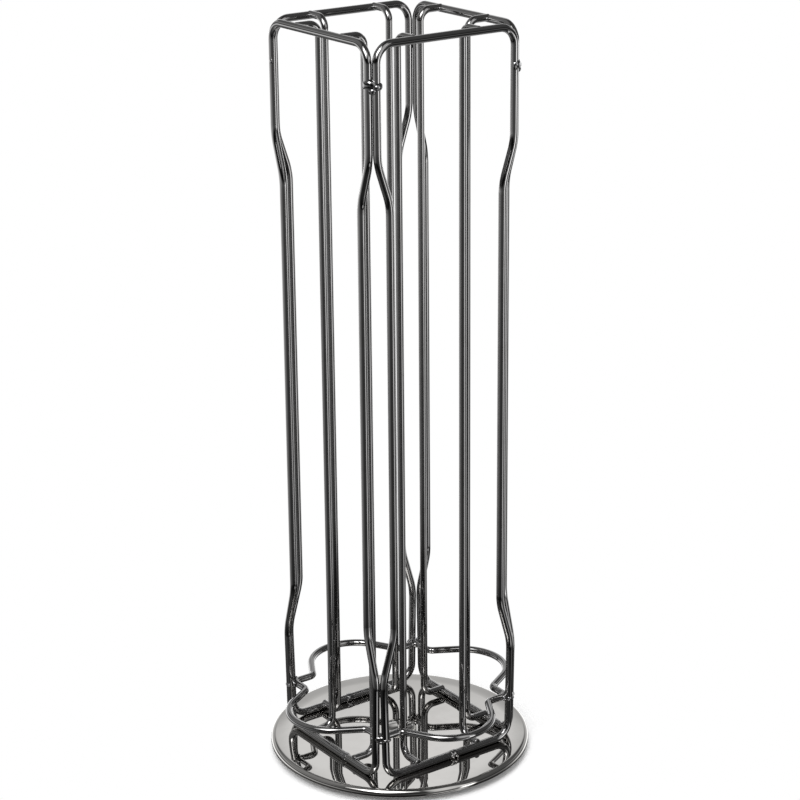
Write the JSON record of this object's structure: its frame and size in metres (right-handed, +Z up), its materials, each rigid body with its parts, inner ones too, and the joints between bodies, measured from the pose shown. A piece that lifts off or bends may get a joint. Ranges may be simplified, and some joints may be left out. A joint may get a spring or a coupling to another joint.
{
  "type": "coffee capsule carousel",
  "caption": "Tall square wire tower on a round turning base; round capsules stack in open side bays, held by their rims between wire frames and guide rods.",
  "frame": {"origin": "on the table, on the turning axis at the middle of the base", "axes": "+Z up along the turning axis, -Y out of the front frame, +X to the right seen from the front"},
  "size_m": [0.1104, 0.1104, 0.3119],
  "materials": {
    "dark_wire": "polished black chrome",
    "polished_plate": "mirror polished",
    "zinc_steel": "bright zinc",
    "nylon": "natural",
    "pad_rubber": "matt"
  },
  "bodies": {
    "foot": {"foot_plate": "zinc_steel", "foot_pads": "pad_rubber", "lower_race": "zinc_steel", "pivot_rivet": "polished_plate", "spacer_sleeve": "zinc_steel"},
    "ball_ring": {"ball_cage": "nylon", "bearing_balls": "zinc_steel"},
    "carousel": {"base_plate": "polished_plate", "upper_race": "zinc_steel", "pivot_bush": "nylon", "thrust_washer": "nylon", "side_frame_front": "dark_wire", "side_frame_right": "dark_wire", "side_frame_back": "dark_wire", "side_frame_left": "dark_wire", "guide_rod_front_left": "dark_wire", "guide_rod_front_right": "dark_wire", "guide_rod_right_left": "dark_wire", "guide_rod_right_right": "dark_wire", "guide_rod_back_left": "dark_wire", "guide_rod_back_right": "dark_wire", "guide_rod_left_left": "dark_wire", "guide_rod_left_right": "dark_wire", "capsule_rail": "dark_wire", "upper_corner_welds": "dark_wire", "rail_corner_welds": "dark_wire", "frame_butt_welds": "dark_wire"}
  },
  "joints": [
    {"name": "carousel_spin", "type": "hinge", "parent": "foot", "child": "carousel", "pos_m": [0, 0, 0.0062], "axis": [0, 0, 1], "continuous": true},
    {"name": "ball_ring_spin", "type": "hinge", "parent": "foot", "child": "ball_ring", "pos_m": [0, 0, 0.0036], "axis": [0, 0, 1], "continuous": true}
  ],
  "couplings": [
    {"joint": "ball_ring_spin", "follows": "carousel_spin", "ratio": 0.5}
  ]
}
